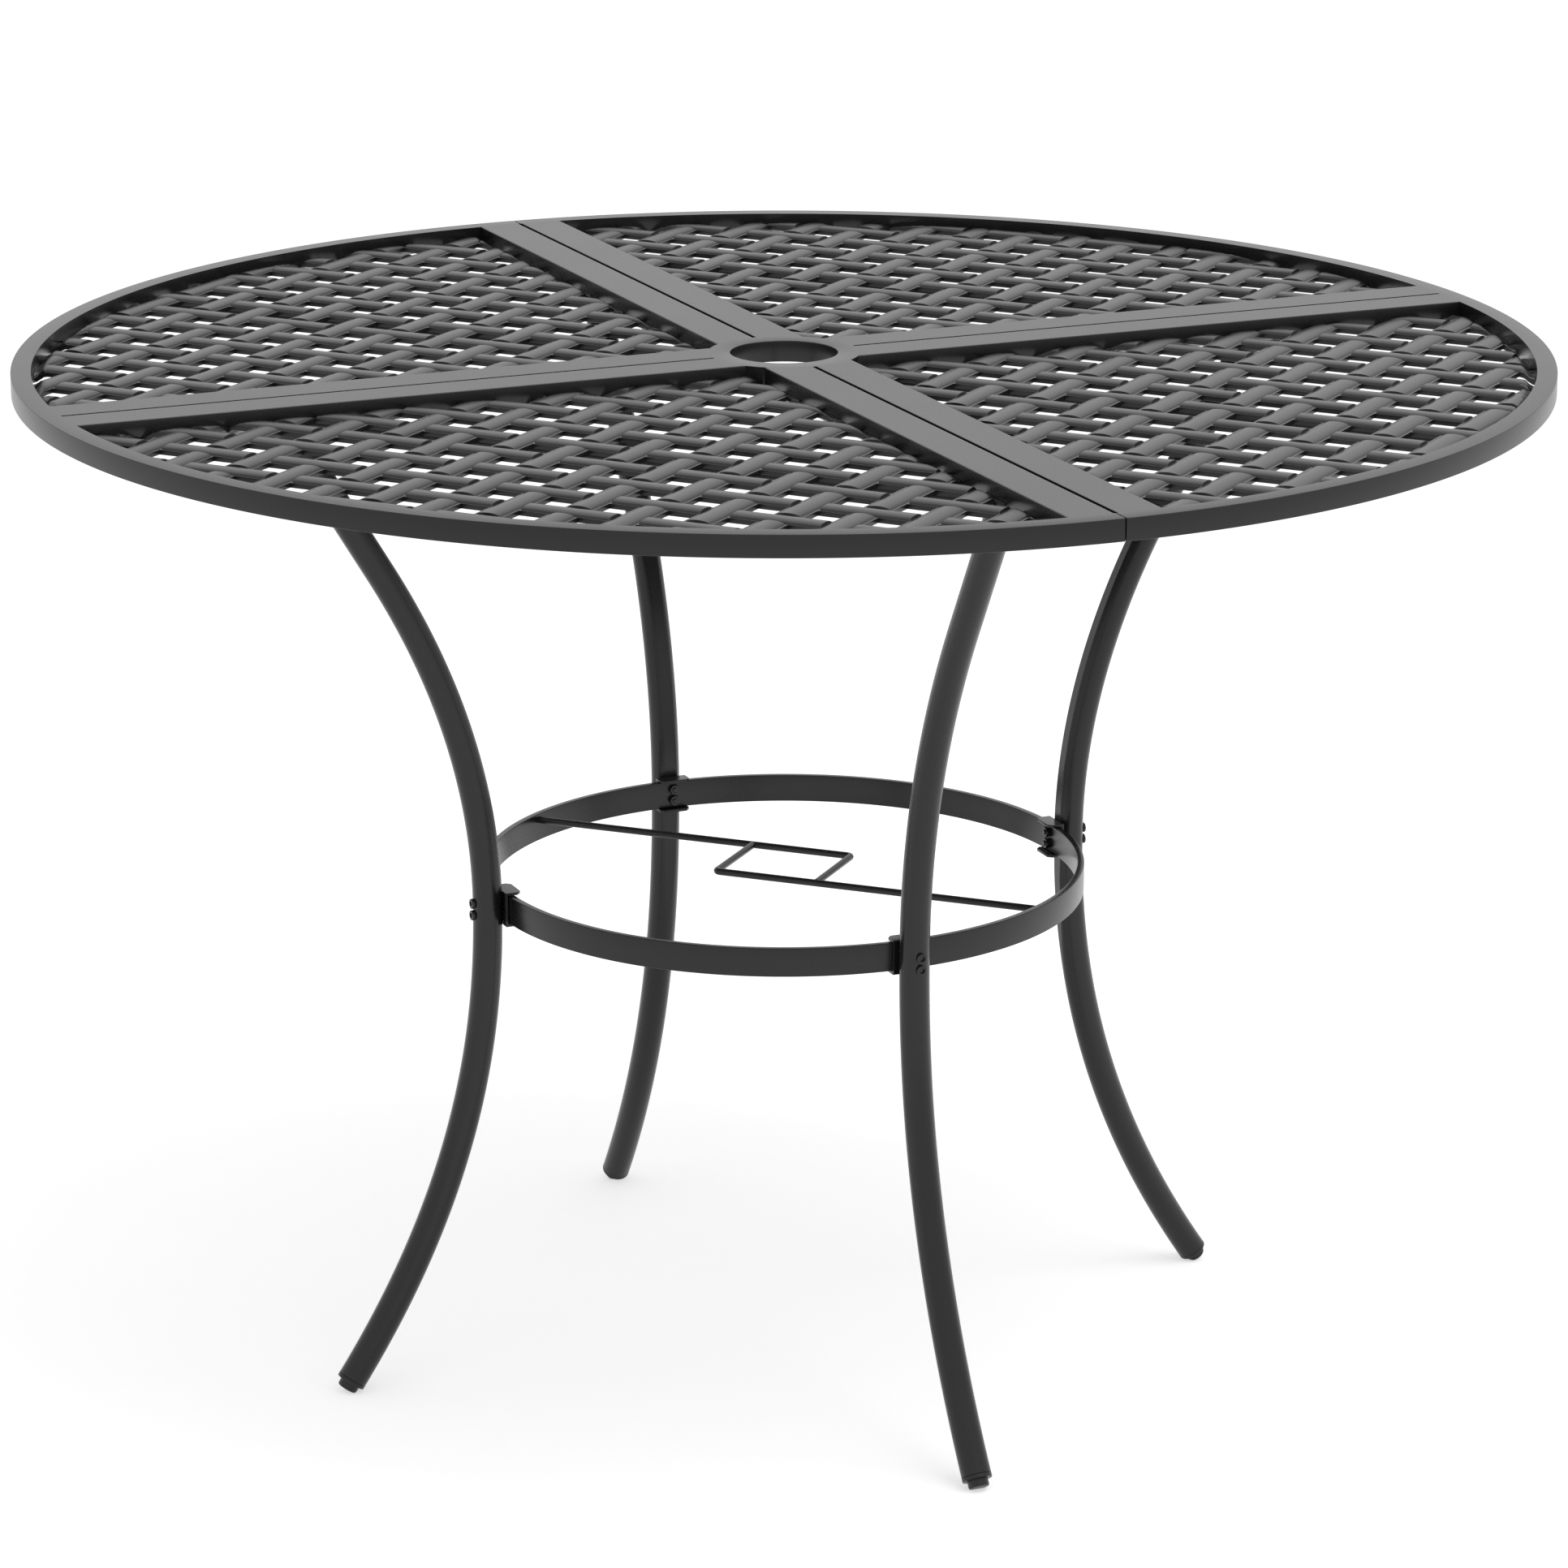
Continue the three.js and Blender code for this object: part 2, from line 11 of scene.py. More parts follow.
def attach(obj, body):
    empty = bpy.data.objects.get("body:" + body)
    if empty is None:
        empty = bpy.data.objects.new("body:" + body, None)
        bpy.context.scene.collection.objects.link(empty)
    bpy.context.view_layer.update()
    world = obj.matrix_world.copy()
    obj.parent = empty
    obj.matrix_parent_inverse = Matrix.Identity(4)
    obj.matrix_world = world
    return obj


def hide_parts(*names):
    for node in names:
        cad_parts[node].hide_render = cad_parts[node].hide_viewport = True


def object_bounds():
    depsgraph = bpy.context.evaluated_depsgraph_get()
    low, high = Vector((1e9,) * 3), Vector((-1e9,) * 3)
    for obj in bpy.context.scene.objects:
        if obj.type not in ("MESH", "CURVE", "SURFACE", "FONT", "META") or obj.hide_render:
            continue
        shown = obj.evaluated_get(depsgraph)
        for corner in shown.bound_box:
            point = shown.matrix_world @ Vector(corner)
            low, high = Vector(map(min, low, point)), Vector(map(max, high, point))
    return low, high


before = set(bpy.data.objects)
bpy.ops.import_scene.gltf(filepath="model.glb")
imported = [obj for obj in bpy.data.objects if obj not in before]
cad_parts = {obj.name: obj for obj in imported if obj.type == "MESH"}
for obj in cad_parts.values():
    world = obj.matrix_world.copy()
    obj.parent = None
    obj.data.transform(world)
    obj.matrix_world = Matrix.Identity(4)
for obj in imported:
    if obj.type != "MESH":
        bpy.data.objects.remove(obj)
cad_low, cad_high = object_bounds()

MM = 0.001
# Points nearer than this are one point, and a cut takes points this near as lying on it
TOUCHING = 1e-6
ON_CUT = 1e-7
# Only the edges that run the length of a bar are longer
LONG_EDGE = 0.3

# Sizes of the table, in metres
TOP_Z = cad_high.z
TOP_RADIUS = cad_high.y
FRAME_HEIGHT = 15 * MM
UNDERSIDE_Z = TOP_Z - FRAME_HEIGHT
RIM_INNER = 519.5 * MM
RIM_GAP = 1 * MM
SEAM_GAP = 3 * MM
CROSS_GAP = 2.5 * MM
SEAM_PAIR_HALF = 32.5 * MM
CROSS_PAIR_HALF = 31.9 * MM
BAR_MIDDLE = 16.5 * MM
HOLE_RADIUS = 37.5 * MM
HUB_RADIUS = 53 * MM
FIT_GAP = 0.3 * MM
BAR_INNER_EDGE = 0.2 * MM
BAR_OUTER_EDGE = 0.6 * MM
BAR_END_STEPS = 24
# Edge roundings of a section, from its low inner corner anticlockwise
RIM_EDGES = [0.4 * MM, 0.5 * MM, 0.5 * MM, 0]
HUB_EDGES = [0.4 * MM, 0.3 * MM, 0, 0.5 * MM]

WEAVE_PITCH = 41.6 * MM
WEAVE_TURN = math.radians(40)
STRAND_HALF = 10.3 * MM
SHEET_TOP = TOP_Z - 7.2 * MM
SHEET_BOTTOM = TOP_Z - 10.4 * MM
DOME_HALF = 8.4 * MM
DOME_RISE = 1.95 * MM
DOME_DROP = 1.5 * MM
DOME_END = 0.35 * MM
# Beside a wall the strands fall by this much, between these two distances from it
DROOP = 4.5 * MM
DROOP_START = 9 * MM
DROOP_END = 2 * MM
SUPPORT_WIDTH = 20 * MM
SUPPORT_OFFSET = 7 * WEAVE_PITCH
SUPPORT_EDGE = 0.3 * MM
# Grid lines from a strand's middle outwards, closest together where its dome is steep
STRAND_LINES = [0, 2.6 * MM, 5 * MM, 6.9 * MM, 8 * MM, DOME_HALF, STRAND_HALF,
                STRAND_HALF + DOME_END, 14 * MM, 17.4 * MM]
# The first and the last crossing that a quarter's sheet reaches, one way and the other
CROSSINGS_S = (-1, 13)
CROSSINGS_T = (-9, 10)
OUTLINE_FACETS = 24

LEG_RADIUS = 10.4 * MM
LEG_TOP = 382.5 * MM
LEG_CURVE_END = 595 * MM
LEG_CURVE_SPREAD = 157.3 * MM
LEG_FOOT = 332 * MM
LEG_FLAT = 216.4 * MM
LEG_WAIST = 225.2 * MM
UPPER_BEND = 2
LOWER_BEND = 2.15
SHALLOW_FLAT = 1 * MM
FLAT_FADE = (245 * MM, 300 * MM)
PLATE_HALF_LENGTH = 28 * MM
PLATE_HALF_WIDTH = 27 * MM
PLATE_THICKNESS = 3 * MM
PLATE_EDGE = 0.4 * MM
PLATE_CORNER = 5 * MM

RING_RADIUS = 213.8 * MM
RING_THICKNESS = 4.8 * MM
RING_HEIGHT = 20 * MM
RING_Z = 345 * MM
RING_EDGE = 0.5 * MM
CLAMP_OUTER = 216.1 * MM
CLAMP_DEPTH = 12 * MM
CLAMP_HALF = 11.5 * MM
CLAMP_SHEET = 2 * MM
CLAMP_CORNER = 3 * MM
CLAMP_BEND = 0.9 * MM
CLAMP_EDGE = 0.1 * MM
BOLT_SPACING = 8.4 * MM
BOLT_SEAT = 235.7 * MM
BOLT_TAIL = 1 * MM
NUT_WIDTH = 7 * MM
NUT_HEIGHT = 3.2 * MM
NUT_BORE = 2.1 * MM
NUT_CHAMFER = 0.7 * MM

SQUARE_LENGTH = 76 * MM
SQUARE_WIDTH = 70 * MM
ROD_RADIUS = 2.5 * MM
ROD_Z = 350 * MM
ROD_BEND = 3 * MM

GLIDE_COLLAR = 3 * MM
GLIDE_NUB = 5.5 * MM
NUB_RADIUS = 7.25 * MM
NUB_ROUNDING = 1.4 * MM
SPIGOT_RADIUS = 7 * MM
SPIGOT_LENGTH = 12 * MM
FLOOR_FLAT = 1.2 * MM


# ---------------------------------------------------------------- materials

def node(tree, kind, x, y, **values):
    made = tree.nodes.new(kind)
    made.location = (x, y)
    for name, value in values.items():
        if name in made.inputs:
            made.inputs[name].default_value = value
        else:
            setattr(made, name, value)
    return made


def coat_grain():
    """The fine orange peel of sprayed powder, with slow changes of shade and gloss."""
    tree = bpy.data.node_groups.new("coat grain", "ShaderNodeTree")
    for name, value in (("Grain Scale", 700.0), ("Cloud Scale", 9.0), ("Shade Change", 0.12),
                        ("Gloss", 0.45), ("Gloss Change", 0.08)):
        socket = tree.interface.new_socket(name, in_out="INPUT", socket_type="NodeSocketFloat")
        socket.default_value = value
    tree.interface.new_socket("Colour", in_out="INPUT", socket_type="NodeSocketColor")
    tree.interface.new_socket("Colour", in_out="OUTPUT", socket_type="NodeSocketColor")
    tree.interface.new_socket("Roughness", in_out="OUTPUT", socket_type="NodeSocketFloat")
    tree.interface.new_socket("Height", in_out="OUTPUT", socket_type="NodeSocketFloat")
    start = node(tree, "NodeGroupInput", -900, 0)
    end = node(tree, "NodeGroupOutput", 600, 0)
    place = node(tree, "ShaderNodeTexCoord", -900, -300)
    grain = node(tree, "ShaderNodeTexNoise", -600, -300, Detail=3.0, Roughness=0.6)
    cloud = node(tree, "ShaderNodeTexNoise", -600, 0, Detail=2.0, Roughness=0.5)
    link = tree.links.new
    link(place.outputs["Object"], grain.inputs["Vector"])
    link(place.outputs["Object"], cloud.inputs["Vector"])
    link(start.outputs["Grain Scale"], grain.inputs["Scale"])
    link(start.outputs["Cloud Scale"], cloud.inputs["Scale"])
    blend = node(tree, "ShaderNodeMath", -380, 120, operation="MULTIPLY_ADD")
    blend.inputs[1].default_value = 0.5
    link(grain.outputs["Fac"], blend.inputs[0])
    half_cloud = node(tree, "ShaderNodeMath", -380, -60, operation="MULTIPLY")
    half_cloud.inputs[1].default_value = 0.5
    link(cloud.outputs["Fac"], half_cloud.inputs[0])
    link(half_cloud.outputs[0], blend.inputs[2])
    centred = node(tree, "ShaderNodeMath", -200, 120, operation="SUBTRACT")
    centred.inputs[1].default_value = 0.5
    link(blend.outputs[0], centred.inputs[0])
    shade = node(tree, "ShaderNodeMath", -20, 120, operation="MULTIPLY_ADD")
    shade.inputs[2].default_value = 1.0
    link(centred.outputs[0], shade.inputs[0])
    link(start.outputs["Shade Change"], shade.inputs[1])
    tint = node(tree, "ShaderNodeMix", 200, 120, data_type="RGBA", blend_type="MULTIPLY")
    tint.inputs[0].default_value = 1.0
    link(start.outputs["Colour"], tint.inputs[6])
    link(shade.outputs[0], tint.inputs[7])
    link(tint.outputs[2], end.inputs["Colour"])
    gloss = node(tree, "ShaderNodeMath", 200, -120, operation="MULTIPLY_ADD")
    link(centred.outputs[0], gloss.inputs[0])
    link(start.outputs["Gloss Change"], gloss.inputs[1])
    link(start.outputs["Gloss"], gloss.inputs[2])
    link(gloss.outputs[0], end.inputs["Roughness"])
    link(grain.outputs["Fac"], end.inputs["Height"])
    return tree


GRAIN = coat_grain()
COAT_IOR = 1.43
PEEL_DEPTH = 0.2 * MM


def coated(name, colour, gloss, bump, grain_scale=700.0):
    """A black coat or plastic with the grain above; bump is how strongly the grain stands out."""
    material = bpy.data.materials.new(name)
    material.use_nodes = True
    tree = material.node_tree
    shader = tree.nodes["Principled BSDF"]
    shader.inputs["IOR"].default_value = COAT_IOR
    grain = node(tree, "ShaderNodeGroup", -500, 200)
    grain.node_tree = GRAIN
    grain.inputs["Colour"].default_value = (*colour, 1)
    grain.inputs["Grain Scale"].default_value = grain_scale
    grain.inputs["Gloss"].default_value = gloss
    peel = node(tree, "ShaderNodeBump", -250, -200, Strength=bump, Distance=PEEL_DEPTH)
    link = tree.links.new
    link(grain.outputs["Colour"], shader.inputs["Base Color"])
    link(grain.outputs["Roughness"], shader.inputs["Roughness"])
    link(grain.outputs["Height"], peel.inputs["Height"])
    link(peel.outputs["Normal"], shader.inputs["Normal"])
    return material


FRAME_COAT = coated("frame powder coat", (0.008, 0.008, 0.008), gloss=0.27, bump=0.12)
WEAVE_COAT = coated("woven steel powder coat", (0.008, 0.008, 0.008), gloss=0.29, bump=0.12)
BLACK_STEEL = coated("black coated fasteners", (0.010, 0.010, 0.010), gloss=0.25, bump=0.08)
GLIDE_PLASTIC = coated("black glide plastic", (0.007, 0.007, 0.007), gloss=0.36, bump=0.3,
                       grain_scale=1400.0)


# ------------------------------------------------------------- mesh helpers

def finish_piece(bm, name, material, slot, *nodes, sharp=35):
    """Turns a finished bmesh into a piece that stands for its CAD nodes."""
    mesh = bpy.data.meshes.new(name)
    bmesh.ops.recalc_face_normals(bm, faces=bm.faces)
    bm.to_mesh(mesh)
    bm.free()
    mesh.materials.append(material)
    mesh.shade_smooth()
    mesh.set_sharp_from_angle(angle=math.radians(sharp))
    piece = bpy.data.objects.new(name, mesh)
    bpy.context.scene.collection.objects.link(piece)
    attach(piece, "root")
    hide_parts(*nodes)
    return piece


def join_into(bm, other, matrix=None):
    """Adds another bmesh to this one, moved by a matrix."""
    mesh = bpy.data.meshes.new("part")
    if matrix is not None:
        bmesh.ops.transform(other, matrix=matrix, verts=other.verts)
    other.to_mesh(mesh)
    other.free()
    bm.from_mesh(mesh)
    bpy.data.meshes.remove(mesh)


def section(centre, width, height, radii, segments=4):
    """A flat rounded rectangle in the XZ plane; radii from low left, anticlockwise."""
    bm = bmesh.new()
    bmesh.ops.create_grid(bm, x_segments=1, y_segments=1, size=0.5)
    bmesh.ops.scale(bm, vec=(width, height, 1), verts=bm.verts)
    corners = [(-1, -1), (1, -1), (1, 1), (-1, 1)]
    order = []
    for sx, sy in corners:
        order.append(next(v for v in bm.verts if v.co.x * sx > 0 and v.co.y * sy > 0))
    for vertex, radius in zip(order, radii):
        if radius > 0:
            bmesh.ops.bevel(bm, geom=[vertex], offset=radius, offset_type="OFFSET",
                            segments=segments, profile=0.5, affect="VERTICES", material=-1,
                            clamp_overlap=False)
    upright = Matrix.Rotation(math.pi / 2, 3, "X")
    bmesh.ops.rotate(bm, verts=bm.verts, cent=(0, 0, 0), matrix=upright)
    bmesh.ops.translate(bm, verts=bm.verts, vec=centre)
    return bm


def turn_flat(bm, angle):
    """Turns a bmesh about Z."""
    bmesh.ops.rotate(bm, verts=bm.verts, cent=(0, 0, 0), matrix=Matrix.Rotation(angle, 3, "Z"))


def spin_round(bm, angle, steps):
    """Turns a flat section about Z into a ring or an arc with closed ends."""
    full = math.isclose(angle, 2 * math.pi)
    if full:
        bmesh.ops.delete(bm, geom=list(bm.faces), context="FACES_ONLY")
    bmesh.ops.spin(bm, geom=bm.verts[:] + bm.edges[:] + bm.faces[:], cent=(0, 0, 0),
                   axis=(0, 0, 1), angle=angle, steps=steps, use_merge=full)


def spin_profile(bm, steps):
    """Spins a line once about Z and closes its seam and its ends on the axis."""
    bmesh.ops.spin(bm, geom=bm.verts[:] + bm.edges[:], cent=(0, 0, 0), axis=(0, 0, 1),
                   angle=2 * math.pi, steps=steps, use_merge=True)
    bmesh.ops.remove_doubles(bm, verts=bm.verts, dist=TOUCHING)


def turned(profile, segments):
    """A closed body from a profile of radius and height points that starts and ends on Z."""
    bm = bmesh.new()
    points = [bm.verts.new((r, 0, z)) for r, z in profile]
    for a, b in zip(points, points[1:]):
        bm.edges.new((a, b))
    spin_profile(bm, segments)
    return bm


def swept(sides, stations, place):
    """A tube with a ring of sides at each station; place gives a point for a station and angle."""
    bm = bmesh.new()
    bmesh.ops.create_cone(bm, cap_ends=True, cap_tris=False, segments=sides, radius1=1, radius2=1,
                          depth=1)
    along = [e for e in bm.edges if abs(e.verts[0].co.z - e.verts[1].co.z) > 0.5]
    bmesh.ops.subdivide_edges(bm, edges=along, cuts=len(stations) - 2, use_grid_fill=True)
    for vertex in bm.verts:
        k = round((vertex.co.z + 0.5) * (len(stations) - 1))
        vertex.co = place(stations[k], math.atan2(vertex.co.y, vertex.co.x))
    return bm


def cut_off(bm, place, outward):
    """Takes away what lies outward of a plane, and closes the cut."""
    cut = bmesh.ops.bisect_plane(bm, geom=bm.verts[:] + bm.edges[:] + bm.faces[:], dist=ON_CUT,
                                 plane_co=place, plane_no=outward, clear_outer=True)
    edges = [g for g in cut["geom_cut"] if isinstance(g, bmesh.types.BMEdge)]
    if edges:
        bmesh.ops.edgenet_fill(bm, edges=edges)


def extrude_all(bm, step):
    """Gives a flat face its thickness; returns the points of the new side."""
    made = bmesh.ops.extrude_face_region(bm, geom=bm.faces[:])
    moved = [g for g in made["geom"] if isinstance(g, bmesh.types.BMVert)]
    bmesh.ops.translate(bm, verts=moved, vec=step)
    return moved


def round_edges(bm, edges, radius, segments):
    bmesh.ops.bevel(bm, geom=edges, offset=radius, offset_type="OFFSET", segments=segments,
                    profile=0.5, affect="EDGES", material=-1)


def sharp_edges(bm, degrees):
    bmesh.ops.recalc_face_normals(bm, faces=bm.faces)
    return [e for e in bm.edges
            if len(e.link_faces) == 2 and e.calc_face_angle() > math.radians(degrees)]


def quarter_turns():
    return [Matrix.Rotation(k * math.pi / 2, 4, "Z") for k in range(4)]


# ------------------------------------------------------------ rim, bars, hub

ROUND_STEPS = 384


def rim_half(name, node_name, turn):
    """Half of the rim; its inner top edge stays sharp, where the bars are welded on flush."""
    width = TOP_RADIUS - RIM_INNER
    bm = section((TOP_RADIUS - width / 2, 0, TOP_Z - FRAME_HEIGHT / 2), width, FRAME_HEIGHT,
                 RIM_EDGES)
    short = math.asin(RIM_GAP / 2 / TOP_RADIUS)
    turn_flat(bm, -math.pi / 2 + short)
    spin_round(bm, math.pi - 2 * short, ROUND_STEPS)
    turn_flat(bm, turn)
    return finish_piece(bm, name, FRAME_COAT, "powder_coat", node_name)


rim_half("rim_half_plus_x", "rim_half_1", 0)
rim_half("rim_half_minus_x", "rim_half_2", math.pi)


def bar(name, node_name, near_side, far_side, side, turn):
    """A bar along +X; its ends follow the umbrella ring and the rim, ground flush as welds."""
    bm = bmesh.new()
    bmesh.ops.create_grid(bm, x_segments=1, y_segments=BAR_END_STEPS, size=0.5)
    for vertex in bm.verts:
        y = side * (near_side + (vertex.co.y + 0.5) * (far_side - near_side))
        end = HUB_RADIUS if vertex.co.x < 0 else RIM_INNER
        vertex.co = (math.sqrt(end ** 2 - y ** 2), y, UNDERSIDE_Z)
    extrude_all(bm, (0, 0, FRAME_HEIGHT))
    for y, radius in ((near_side, BAR_INNER_EDGE), (far_side, BAR_OUTER_EDGE)):
        edges = [e for e in bm.edges
                 if e.calc_length() > LONG_EDGE and abs(abs(e.verts[0].co.y) - y) < TOUCHING]
        round_edges(bm, edges, radius, 3)
    turn_flat(bm, turn)
    return finish_piece(bm, name, FRAME_COAT, "powder_coat", node_name)


for arm in range(4):
    on_seam = arm % 2 == 1
    kind = "seam" if on_seam else "spoke"
    gap, far = (SEAM_GAP, SEAM_PAIR_HALF) if on_seam else (CROSS_GAP, CROSS_PAIR_HALF)
    for side, word in ((-1, "right"), (1, "left")):
        bar(f"{kind}_bar_tube_{arm + 1}_{word}", f"{kind}_bar_{arm + 1}_{word}", gap / 2, far, side,
            arm * math.pi / 2)

hub = section(((HOLE_RADIUS + HUB_RADIUS) / 2, 0, TOP_Z - FRAME_HEIGHT / 2),
              HUB_RADIUS - HOLE_RADIUS, FRAME_HEIGHT, HUB_EDGES)
spin_round(hub, 2 * math.pi, ROUND_STEPS)
finish_piece(hub, "umbrella_hole_ring", FRAME_COAT, "powder_coat", "umbrella_ring")


# ---------------------------------------------------------------- woven top

def weave_lines(first, last):
    """Where the sheet's grid lines lie along one direction, from one crossing to another."""
    lines = []
    for crossing in range(first, last + 1):
        middle = crossing * WEAVE_PITCH
        lines += [middle - off for off in STRAND_LINES[:0:-1]]
        lines += [middle + off for off in STRAND_LINES]
        lines.append(middle + WEAVE_PITCH / 2)
    return lines


def from_crossing(place):
    """The nearest crossing along one direction, and how far a place is from it."""
    crossing = round(place / WEAVE_PITCH)
    return crossing, place - crossing * WEAVE_PITCH


def dome(s, t, upper):
    """How far a float's dome stands over the sheet, from 0 to 1, at a place of the weave.

    Each crossing has one float on the upper side and one across it on the under side. A float
    runs on to the edges of the crossings before and after its own, and ends there steeply."""
    (i, u), (j, v) = from_crossing(s), from_crossing(t)
    along_s = ((i + j) % 2 == 0) == upper
    on_s_strand = abs(v) <= STRAND_HALF + TOUCHING
    on_t_strand = abs(u) <= STRAND_HALF + TOUCHING
    if on_s_strand and on_t_strand:
        across, rise = (v, 1) if along_s else (u, 1)
    elif on_s_strand:
        across, rise = v, 1 if along_s else min((abs(u) - STRAND_HALF) / DOME_END, 1)
    else:
        across, rise = u, min((abs(v) - STRAND_HALF) / DOME_END, 1) if along_s else 1
    return rise * math.sqrt(max(1 - (across / DOME_HALF) ** 2, 0))


def smooth_step(share):
    """Runs softly from 0 to 1 as share does, and stays there."""
    share = min(max(share, 0), 1)
    return share * share * (3 - 2 * share)


def wall_distance(x, y):
    """Distance from the nearest of the two bars, the rim and the umbrella ring."""
    radius = math.hypot(x, y)
    nearest = min(abs(x) - SEAM_PAIR_HALF, abs(y) - CROSS_PAIR_HALF, RIM_INNER - radius,
                  radius - HUB_RADIUS)
    return max(nearest, 0)


def droop_share(x, y):
    """How far the strands are bent down beside a wall, from 0 to 1."""
    return smooth_step((DROOP_START - wall_distance(x, y)) / (DROOP_START - DROOP_END))


def sheet_outline(number):
    """The cuts round a quarter's sheet, each as a point and the direction that falls away."""
    quarter = Matrix.Rotation((number - 1) * math.pi / 2, 3, "Z")
    corner = quarter @ Vector((1, 1, 0))
    cuts = [(Vector((corner.x * (SEAM_PAIR_HALF + FIT_GAP), 0, 0)), Vector((-corner.x, 0, 0))),
            (Vector((0, corner.y * (CROSS_PAIR_HALF + FIT_GAP), 0)), Vector((0, -corner.y, 0))),
            (corner.normalized() * (HUB_RADIUS + FIT_GAP), -corner.normalized())]
    for k in range(OUTLINE_FACETS):
        angle = (k + 0.5) * math.pi / 2 / OUTLINE_FACETS
        outward = quarter @ Matrix.Rotation(angle, 3, "Z") @ Vector((1, 0, 0))
        cuts.append((outward * (RIM_INNER - FIT_GAP), outward))
    return cuts


def largest_part(bm):
    """Takes away the offcuts that the outline leaves beside the sheet."""
    left = set(bm.faces)
    parts = []
    while left:
        part, edge_on = set(), [left.pop()]
        while edge_on:
            face = edge_on.pop()
            part.add(face)
            for edge in face.edges:
                for other in edge.link_faces:
                    if other in left:
                        left.discard(other)
                        edge_on.append(other)
        parts.append(part)
    parts.sort(key=len)
    for part in parts[:-1]:
        bmesh.ops.delete(bm, geom=list(part), context="FACES")


def support_bar(number, cuts):
    """The flat bar welded under a quarter's sheet, from the sheet to the frame's underside.

    In the first and third quarters it runs across the strands that lead out from the umbrella
    ring, and in the others along them."""
    bm = bmesh.new()
    bmesh.ops.create_cube(bm, size=1)
    reach = 2 * TOP_RADIUS
    if number % 2 == 1:
        width, middle = (SUPPORT_WIDTH, reach, 1), SUPPORT_OFFSET
    else:
        width, middle = (reach, SUPPORT_WIDTH, 1), reach / 2
    bmesh.ops.scale(bm, vec=width, verts=bm.verts)
    bmesh.ops.translate(bm, vec=(middle, 0, 0), verts=bm.verts)
    for vertex in bm.verts:
        vertex.co.z = SHEET_BOTTOM if vertex.co.z > 0 else UNDERSIDE_Z
    for place, outward in cuts:
        cut_off(bm, place, outward)
    round_edges(bm, sharp_edges(bm, 60), SUPPORT_EDGE, 2)
    return bm


def woven_panel(number):
    """A quarter's woven sheet, made in its own frame along the strands and then turned."""
    turn = Matrix.Rotation(WEAVE_TURN + (number - 1) * math.pi / 2, 3, "Z")
    s_lines, t_lines = weave_lines(*CROSSINGS_S), weave_lines(*CROSSINGS_T)
    s_cells, t_cells = len(s_lines) - 1, len(t_lines) - 1
    bm = bmesh.new()
    bmesh.ops.create_grid(bm, x_segments=s_cells, y_segments=t_cells, size=0.5)
    for vertex in bm.verts:
        x, y, _ = vertex.co
        vertex.co = (s_lines[round((x + 0.5) * s_cells)], t_lines[round((y + 0.5) * t_cells)], 0)
    back = turn.transposed()
    cuts = [(back @ place, back @ outward) for place, outward in sheet_outline(number)]
    spare = []
    for face in bm.faces:
        middle = face.calc_center_median()
        in_hole = all(abs(from_crossing(place)[1]) > STRAND_HALF for place in middle.xy)
        outside = max((middle - place).dot(outward) for place, outward in cuts)
        if in_hole or outside > WEAVE_PITCH / 2:
            spare.append(face)
    bmesh.ops.delete(bm, geom=spare, context="FACES")
    for place, outward in cuts:
        bmesh.ops.bisect_plane(bm, geom=bm.verts[:] + bm.edges[:] + bm.faces[:], dist=ON_CUT,
                               plane_co=place, plane_no=outward, clear_outer=True)
    largest_part(bm)
    made = bmesh.ops.extrude_face_region(bm, geom=bm.faces[:])
    upper = {g for g in made["geom"] if isinstance(g, bmesh.types.BMVert)}
    for vertex in bm.verts:
        s, t, _ = vertex.co
        vertex.co = turn @ vertex.co
        share = droop_share(vertex.co.x, vertex.co.y)
        if vertex in upper:
            z = SHEET_TOP + DOME_RISE * dome(s, t, True)
        else:
            z = SHEET_BOTTOM - DOME_DROP * dome(s, t, False) * (1 - share)
        vertex.co.z = z - DROOP * share
    join_into(bm, support_bar(number, cuts), turn.to_4x4())
    finish_piece(bm, f"woven_sheet_{number}", WEAVE_COAT, "woven_steel", f"woven_panel_{number}")


for number in range(1, 5):
    woven_panel(number)


# --------------------------------------------------------------------- legs

GLIDE_LENGTH = GLIDE_COLLAR + GLIDE_NUB


def foot_tilt(end_z):
    """How far a leg leans out at its foot, if its tube ends at this height."""
    return math.atan(LOWER_BEND * (LEG_FOOT - LEG_WAIST) / (RING_Z - end_z))


# The tube's end and its lean depend on each other; a few rounds settle both
LEG_END_Z = GLIDE_LENGTH
for _ in range(8):
    tilt = foot_tilt(LEG_END_Z)
    nub_reach = (NUB_RADIUS - NUB_ROUNDING) * math.sin(tilt)
    LEG_END_Z = GLIDE_LENGTH * math.cos(tilt) + nub_reach - FLOOR_FLAT


def leg_line(z):
    """A leg's middle line: distance from the table's axis, and its slope.

    Its ends are bent outwards from the waist; the upper end runs on straight to its plate."""
    if z > RING_Z:
        spread, end_z, bend = LEG_CURVE_SPREAD, UNDERSIDE_Z, UPPER_BEND
    else:
        spread, end_z, bend = LEG_FOOT - LEG_WAIST, LEG_END_Z, LOWER_BEND
    curved_z = min(z, LEG_CURVE_END)
    rise = (curved_z - RING_Z) / (end_z - RING_Z)
    slope = bend * spread * rise ** (bend - 1) / (end_z - RING_Z)
    return LEG_WAIST + spread * rise ** bend + slope * (z - curved_z), slope


def flat_limit(z, distance, lean):
    """How far the tube reaches inwards at a height: to the plane that is pressed for the clamp
    at the waist, and to a shallow flat that runs to the top and fades out below the ring."""
    shallow = SHALLOW_FLAT * smooth_step((z - FLAT_FADE[0]) / (FLAT_FADE[1] - FLAT_FADE[0]))
    return min(LEG_RADIUS - shallow, (distance - LEG_FLAT) * lean)


